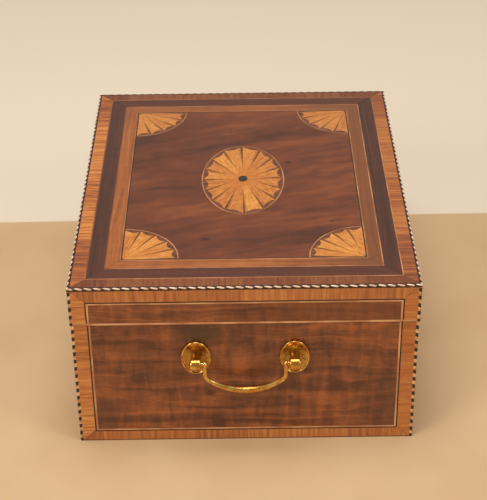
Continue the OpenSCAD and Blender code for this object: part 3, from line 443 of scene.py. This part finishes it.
def line_wood(name, light, dark, seed):
    """A thin line's finish so far, with its colour and the specks that also roughen it."""
    f = Finish(name)
    mottle = f.noise(f.join(f.x * 0.05, f.y * 0.05, f.z * 0.05 + seed), detail=3)
    speck = f.noise(f.join(f.x * 0.8, f.y * 0.8, f.z * 0.8 + seed), detail=2)
    colour = f.mix(mottle.ramp(0.35, 0.65), light, dark)
    colour = f.mix(speck.ramp(0.6, 0.75) * 0.4, colour, dark)
    return f, colour, speck


f, colour, speck = line_wood("boxwood", tint(214, 158, 112), tint(176, 116, 74), seed=1.0)
boxwood = f.polish(colour, LINE_GLOSS, speck, depth=0.02, **POLISH)

f, colour, speck = line_wood("boxwood top", tint(196, 132, 88), tint(150, 94, 56), seed=2.0)
left_side = f.y.ramp(-78.0, -96.0) * f.x.abs().ramp(132.0, 120.0)
colour = f.mix(left_side * 0.75, colour, tint(112, 56, 26))
far = f.x.ramp(20.0, -120.0) * 0.45
colour = f.mix(far, colour, tint(120, 70, 40))
top_boxwood = f.polish(colour, LINE_GLOSS, speck, depth=0.02, **POLISH)

f, colour, speck = line_wood("black line", tint(44, 20, 12), tint(28, 10, 6), seed=3.0)
black_wood = f.polish(colour, LINE_GLOSS, speck, depth=0.02, **POLISH)

# %% [markdown]
# ## Rope and chequer stringing
# Rope stringing is cut from a pack of slips glued up aslant, so that pale S shapes lie between black
# ones. It is let into the edge of the lid, and half of it shows on the top and half on the side, so the
# pattern is unrolled over the edge. The upright corners have plain black and white blocks.

# %% Stringing
PITCH = 6.4
WHITE = tint(236, 202, 172)
INK = tint(34, 12, 8)

f = Finish("rope stringing")
from_end, from_side, along_end = on_top(f, LID)
run = f.choose(along_end, f.x, f.y)
inward = f.choose(along_end, from_side, from_end)
down = LID.z - f.z
over_edge = inward - down
phase = ((run - over_edge * 0.9) / PITCH + 50.0).fract()
middle = phase * 2.0 - 1.0
swing = middle.math("SINE") * -0.9
thickness = middle.abs().power(3.0) * -0.35 + 0.62
light = ((over_edge - swing).abs() - thickness).ramp(0.22, -0.12)
grime = f.noise(f.join(f.x * 0.09, f.y * 0.09, f.z), detail=3)
pale = f.mix(grime.ramp(0.42, 0.62) * 0.55, WHITE, tint(178, 112, 76))
edge_line = over_edge.abs().ramp(1.6, 2.1)
inked = f.mix(edge_line * 0.7, INK, tint(82, 34, 20))
rope = f.polish(f.mix(light, inked, pale), 0.33, light, depth=0.02, **POLISH)

f = Finish("chequer stringing")
outward = f.x.abs() + f.y.abs()
block = ((f.z + outward * 0.35) / PITCH + 50.0).fract()
white = (block - 0.5).abs().ramp(0.235, 0.27)
grime = f.noise(f.join(f.x * 0.3, f.y * 0.3, f.z * 0.3), detail=3)
pale = f.mix(grime.ramp(0.38, 0.6) * 0.75, tint(222, 176, 130), tint(150, 92, 54))
chequer = f.polish(f.mix(white, INK, pale), 0.36, white, depth=0.02, **POLISH)

# %% [markdown]
# ## Sand-shaded fans
# Each petal was dipped in hot sand, which burns its edge brown and fades inwards. All the petals of the
# patera are burnt on their clockwise edge, and those of the corner fans on the edge nearer the end of
# the box. To know where it is inside its petal, a point's angle round the oval is turned into a length
# round the oval's edge, because the petals share that length equally, and not the angle.

# %% Which petal, and where in it
PETALS = 16
PETAL_SWEEP = 0.39
FAN_PETALS = 5
FAN_PETAL_SWEEP = 0.31
FAN_REACH = 36.0


def even_share(a, b, steps=720):
    """How length round an oval departs from its angle, as two sine terms for the shader."""
    total = 0.0
    lengths = [0.0]
    for i in range(steps):
        t = 2 * math.pi * (i + 0.5) / steps
        total += math.hypot(a * math.sin(t), b * math.cos(t))
        lengths.append(total)
    terms = [0.0, 0.0]
    for i in range(steps):
        t = 2 * math.pi * i / steps
        ahead = 2 * math.pi * lengths[i] / total - t
        terms[0] += 2 / steps * ahead * math.sin(2 * t)
        terms[1] += 2 / steps * ahead * math.sin(4 * t)
    return terms


def petal_wood(f, out, number, across_mm, seed):
    """Satinwood with its grain along the petal."""
    own = f.chance(f.join(number, seed, 1.0))
    fibre = f.noise(f.join(out * 0.05, across_mm * 1.6, number * 3.7 + seed), detail=3)
    fleck = f.noise(f.join(out * 0.22, across_mm * 0.5, number * 5.1 + seed), detail=3)
    tone = (fibre - 0.5) * 0.9 + (fleck - 0.5) * 1.1 + 0.5 + (own - 0.5) * 0.3
    colour = f.mix(tone.ramp(0.15, 0.6), tint(172, 98, 36), tint(200, 126, 52))
    colour = f.mix(tone.ramp(0.5, 0.95), colour, tint(222, 156, 76))
    return colour, fibre


def burn(f, colour, place, out_share):
    """Browns a petal from its edge where place is 0, more towards the tip than at the root."""
    reach = out_share.ramp(0.22, 0.95, 0.05, 0.30)
    scorch = (place / reach).ramp(1.0, 0.15)
    strength = out_share.ramp(0.2, 0.55)
    colour = f.mix(scorch * strength * 0.62, colour, tint(110, 54, 18))
    char = (place / reach).ramp(0.55, 0.0)
    return f.mix(char * strength * 0.9, colour, tint(44, 20, 8))


# %% The patera
f = Finish("patera petals")
a, b = PATERA.x, PATERA.y
first, second = even_share(a, b)
angle = (f.y / b).math("ARCTAN2", f.x / a)
shared = angle + (angle * 2.0).math("SINE") * first + (angle * 4.0).math("SINE") * second
turn = shared / (2 * math.pi) * PETALS + PETALS
place = turn.fract()
out = (f.x * f.x + f.y * f.y).power(0.5)
out_share = ((f.x / a).power(2.0) + (f.y / b).power(2.0)).power(0.5)
colour, fibre = petal_wood(f, out, turn.floor(), place * out * PETAL_SWEEP, seed=5.0)
colour = f.mix(out_share.ramp(0.5, 0.1) * 0.5, colour, tint(190, 108, 40))
colour = burn(f, colour, place, out_share)
patera_satinwood = f.polish(colour, 0.34, fibre, depth=0.02, **POLISH)

# %% The corner fans
f = Finish("corner fan petals")
from_corner_x = FIELD.x - f.x.abs()
from_corner_y = FIELD.y - f.y.abs()
angle = from_corner_y.math("ARCTAN2", from_corner_x)
turn = angle / (math.pi / 2) * FAN_PETALS
place = 1.0 - turn.fract()
out = (from_corner_x * from_corner_x + from_corner_y * from_corner_y).power(0.5)
corner_number = turn.floor() + (f.x / 40).floor() * 7.0 + (f.y / 40).floor() * 13.0
colour, fibre = petal_wood(f, out, corner_number, place * out * FAN_PETAL_SWEEP, seed=9.0)
colour = f.mix(f.x.ramp(20.0, -100.0) * 0.3, colour, tint(168, 100, 48))
colour = burn(f, colour, place, out / FAN_REACH)
fan_satinwood = f.polish(colour, 0.34, fibre, depth=0.02, **POLISH)

# %% The ground between the petal ends, and the boss
f = Finish("fan ground")
tone, holes, relief = grain(f, f.y, f.x, ripple=0.1, growth=0.5, seed=61.0)
ground = f.mix(tone.ramp(0.2, 0.8), tint(78, 38, 20), tint(122, 68, 40))
fan_ground = f.polish(ground, 0.36, relief, depth=0.02, **POLISH)

f, colour, speck = line_wood("boss", tint(52, 38, 32), tint(30, 18, 14), seed=5.0)
boss = f.polish(colour, LINE_GLOSS, speck, depth=0.02, **POLISH)

# %% [markdown]
# ## Brass and iron
# The handles are cast brass, lacquered long ago. The rims and the grip are rubbed bright, and the
# hollows keep a brown and olive patina. The hinges and the lock are plainer, and the pins, nuts and
# screws are iron.

# %% Metals
PLATE_HALF_W = 10.4
PLATE_HALF_H = (PLATE[1].z - PLATE[0].z) / 2


def brass(name, bright, warm, dull, patina_share):
    """A metal's finish so far, with its colour, its roughness and the scratches of its relief."""
    f = Finish(name)
    spot = f.noise(f.join(f.x * 0.35, f.y * 0.35, f.z * 0.35), detail=4, roughness=0.6)
    cloud = f.noise(f.join(f.x * 0.12, f.y * 0.12, f.z * 0.12 + 9.0), detail=3)
    scratch = f.noise(f.join(f.x * 2.0, f.y * 0.6, f.z * 2.4), detail=2)
    colour = f.mix(cloud.ramp(0.38, 0.62), bright, warm)
    colour = f.mix(spot.ramp(0.5, 0.72) * patina_share, colour, dull)
    roughness = spot.ramp(0.4, 0.75) * 0.22 + 0.16 + (scratch - 0.5) * 0.08
    return f, colour, roughness, scratch


f, colour, roughness, scratch = brass(
    "handle brass", tint(226, 188, 112), tint(206, 146, 66), tint(112, 78, 34), 0.75)
plate_side = (f.y.abs() - (PLATE[1].y - PLATE_HALF_W)).abs() / PLATE_HALF_W
plate_up = (f.z - (PLATE[0].z + PLATE[1].z) / 2).abs() / PLATE_HALF_H
dish = (plate_side * plate_side + plate_up * plate_up).power(0.5)
on_plate = (f.x.abs() - PLATE[0].x).ramp(3.2, 2.9)
hollow = dish.ramp(0.95, 0.7) * on_plate
colour = f.mix(hollow * 0.5, colour, tint(128, 92, 40))
handle_brass = f.polish(colour, roughness + hollow * 0.1, scratch, depth=0.006, Metallic=1.0)

f, colour, roughness, scratch = brass(
    "cabinet brass", tint(206, 168, 96), tint(184, 136, 70), tint(120, 88, 44), 0.5)
cabinet_brass = f.polish(colour, roughness + 0.1, scratch, depth=0.006, Metallic=1.0)

f, colour, roughness, scratch = brass(
    "iron", tint(132, 126, 118), tint(108, 98, 88), tint(84, 56, 38), 0.6)
iron = f.polish(colour, roughness + 0.16, scratch, depth=0.008, Metallic=1.0)

# %% [markdown]
# ## Hidden woods and lining
# The carcass is plain mahogany and the boards are deal. The inside is lined with faded blue-grey sugar
# paper, pasted on card, with a soft fibre and a few brown spots.

# %% Carcass, deal and paper
f = Finish("carcass wood")
along = f.choose(f.faces_end, f.x, f.y)
tone, holes, relief = grain(f, along, f.z, ripple=0.2, growth=0.3, seed=71.0)
carcass_wood = wood(f, tone, holes, relief, tint(150, 92, 56), tint(122, 70, 40), tint(94, 50, 28),
                    tint(60, 30, 18), gloss=0.5)

f = Finish("rim mahogany")
from_end, from_side, along_end = on_top(f, LID)
tone, holes, relief = grain(f, f.choose(along_end, f.x, f.y), f.choose(along_end, f.y, f.x),
                            ripple=0.2, growth=0.4, seed=73.0)
rim_mahogany = wood(f, tone, holes, relief, tint(140, 76, 40), tint(112, 56, 28), tint(84, 40, 20),
                    tint(50, 24, 14), gloss=0.38)

f = Finish("deal")
tone, holes, relief = grain(f, f.x, f.y, ripple=0.05, growth=0.35, seed=79.0)
deal = wood(f, tone, holes, relief, tint(206, 170, 122), tint(182, 142, 94), tint(146, 104, 62),
            tint(110, 72, 42), gloss=0.6)

f = Finish("sugar paper")
fibre = f.noise(f.join(f.x * 1.6, f.y * 1.6, f.z * 1.6), detail=4, roughness=0.7)
fade = f.noise(f.join(f.x * 0.02, f.y * 0.02, f.z * 0.03), detail=3)
fox = f.noise(f.join(f.x * 0.16, f.y * 0.16, f.z * 0.16 + 4.0), detail=3).ramp(0.66, 0.74)
paper = f.mix(fade.ramp(0.35, 0.65), tint(142, 150, 156), tint(166, 166, 158))
paper = f.mix(fibre.ramp(0.45, 0.75) * 0.3, paper, tint(112, 118, 126))
paper = f.mix(fox * 0.5, paper, tint(150, 122, 88))
sugar_paper = f.polish(paper, 0.88, fibre, depth=0.06)

# %% [markdown]
# ## Giving the pieces their finish
# Every piece already has a material from the drawing. Its slots now get the finish of its wood or metal.
# Pieces of one material share one finish, and the patterns fit them all, because they are measured from
# the middle of the box.

# %% Hand out the finishes
FINISHES = {
    side_panel: ["panel_front", "panel_back", "panel_near_end", "panel_far_end"],
    lid_side_panel: ["lid_side_panels"],
    field_mahogany: ["top_field"],
    side_tulipwood: ["body_crossbands", "lid_side_crossbands"],
    top_tulipwood: ["top_crossband"],
    rosewood: ["top_dark_band"],
    satinwood: ["top_satin_band"],
    boxwood: ["body_light_lines", "lid_side_light_lines", "lid_rim_line"],
    top_boxwood: ["top_light_lines", "fan_lines"],
    black_wood: ["body_dark_lines", "lid_side_dark_lines", "top_dark_line"],
    rope: ["rope_stringing"],
    chequer: ["body_corner_stringing", "lid_corner_stringing"],
    patera_satinwood: ["patera_petals"],
    fan_satinwood: ["corner_fan_petals"],
    fan_ground: ["fan_ground"],
    boss: ["patera_boss"],
    handle_brass: ["near_handle_bail", "near_handle_plates", "near_handle_posts",
                   "far_handle_bail", "far_handle_plates", "far_handle_posts"],
    cabinet_brass: ["hinge_body_leaves", "hinge_lid_leaves", "lock_case", "lock_cap",
                    "lock_link_plate", "keyhole_escutcheon"],
    iron: ["hinge_pins", "hinge_body_screws", "hinge_lid_screws", "lock_screws",
           "link_plate_screws", "lock_bolt", "handle_nuts"],
    carcass_wood: ["carcass_front", "carcass_back", "carcass_near_end", "carcass_far_end",
                   "lid_wall_front", "lid_wall_back", "lid_wall_near_end", "lid_wall_far_end"],
    rim_mahogany: ["body_rim_facings", "lid_rim_facings"],
    deal: ["base_board", "lid_board"],
    sugar_paper: ["body_lining", "lid_lining"],
}
dressed = set()
for material, names in FINISHES.items():
    for name in names:
        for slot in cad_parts[name].material_slots:
            slot.material = material
        dressed.add(name)
print("pieces without a finish:", sorted(set(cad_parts) - dressed))

# %% [markdown]
# ## Floor, camera and light
# The box stands on a pale floor that turns lighter behind it, where the photograph has a wall. The
# camera stands in front of the near end and looks down at it. Its place was worked out from the
# corners of the box in the photograph. The light is soft and plain, from a pale sky and three large
# lamps, so that a colour renders about as it is written and the brass has something bright to show.

# %% Floor
bpy.ops.object.select_all(action="DESELECT")
FLOOR_SIZE = 6.0
bpy.ops.mesh.primitive_plane_add(size=FLOOR_SIZE)
floor = bpy.context.object
floor.name = "floor"
BACK_EDGE = -157.0
f = Finish("floor")
behind = (f.x + f.y * 0.012).ramp(BACK_EDGE + 1.0, BACK_EDGE - 1.0)
mottle = f.noise(f.join(f.x * 0.01, f.y * 0.01), detail=3)
sand = f.mix(mottle.ramp(0.35, 0.65), tint(204, 172, 132), tint(198, 165, 124))
colour = f.mix(behind, sand, tint(226, 212, 192))
floor.data.materials.append(f.polish(colour, 0.8))

# %% Camera
CAMERA_AT = Vector((0.9267, 0.0002, 0.6768))
LOOK_DOWN = 31.27
ROLL = -0.765
LENS = 101.87
camera_data = bpy.data.cameras.new("camera")
camera = bpy.data.objects.new("camera", camera_data)
bpy.context.scene.collection.objects.link(camera)
bpy.context.scene.camera = camera
camera_data.sensor_width = 36.0
camera_data.lens = LENS
camera_data.shift_y = -0.1
aim = Matrix.Rotation(math.radians(90), 4, "Z") @ Matrix.Rotation(math.radians(90 - LOOK_DOWN), 4, "X")
roll = Matrix.Rotation(math.radians(ROLL), 4, "Z")
camera.matrix_world = Matrix.Translation(CAMERA_AT) @ aim @ roll
print("camera at", tuple(CAMERA_AT), "looking down", LOOK_DOWN, "degrees")

# %% Light
WARM_WHITE = (1.0, 0.97, 0.92)


def lamp(name, place, size, power):
    """A large square lamp that looks at the box."""
    data = bpy.data.lights.new(name, "AREA")
    data.size = size
    data.energy = power
    data.color = WARM_WHITE
    light = bpy.data.objects.new(name, data)
    light.location = place
    light.rotation_euler = (Vector((0, 0, 0.06)) - Vector(place)).to_track_quat("-Z", "Y").to_euler()
    bpy.context.scene.collection.objects.link(light)
    print(name, "at", place, "with", power, "watts")


lamp("overhead lamp", (0.1, -0.1, 1.7), 0.9, 17.0)
lamp("left lamp", (1.1, -1.2, 1.0), 0.7, 12.0)
lamp("right lamp", (0.9, 1.3, 1.1), 0.6, 8.0)
world = bpy.data.worlds.new("studio")
bpy.context.scene.world = world
world.use_nodes = True
world.node_tree.nodes["Background"].inputs["Color"].default_value = tint(236, 228, 216)
world.node_tree.nodes["Background"].inputs["Strength"].default_value = 0.5
bpy.context.scene.view_settings.view_transform = "Standard"
